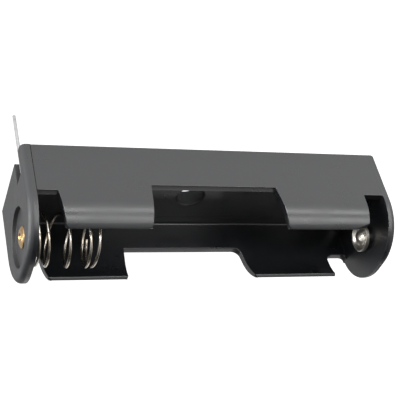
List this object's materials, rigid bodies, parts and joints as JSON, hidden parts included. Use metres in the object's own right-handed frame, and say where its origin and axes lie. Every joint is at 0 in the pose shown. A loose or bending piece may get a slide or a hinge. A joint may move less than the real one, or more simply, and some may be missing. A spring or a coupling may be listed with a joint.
{
  "type": "cylindrical cell holder",
  "caption": "Through-hole holder for a cylindrical lithium cell: moulded trough with inward-curving clip walls, a riveted coil spring and a riveted cup contact.",
  "frame": {"origin": "middle of the board side: centre of the line between the two terminal pins where they leave the body", "axes": "+X along the cell from the spring contact to the cup contact, +Z out of the opening, away from the board; the pins point along -Z"},
  "size_m": [0.077, 0.0224, 0.0321],
  "materials": {
    "moulding": "satin black with a fine texture",
    "spring_wire": "nickel-plated spring wire",
    "brass": "polished",
    "tinned_wire": "tinned",
    "nickel": "bright nickel plate"
  },
  "bodies": {
    "root": {"housing": "moulding", "negative_spring": "spring_wire", "negative_rivet": "brass", "negative_pin": "tinned_wire", "positive_cup": "nickel", "positive_rivet": "nickel", "positive_pin": "tinned_wire"}
  },
  "joints": []
}
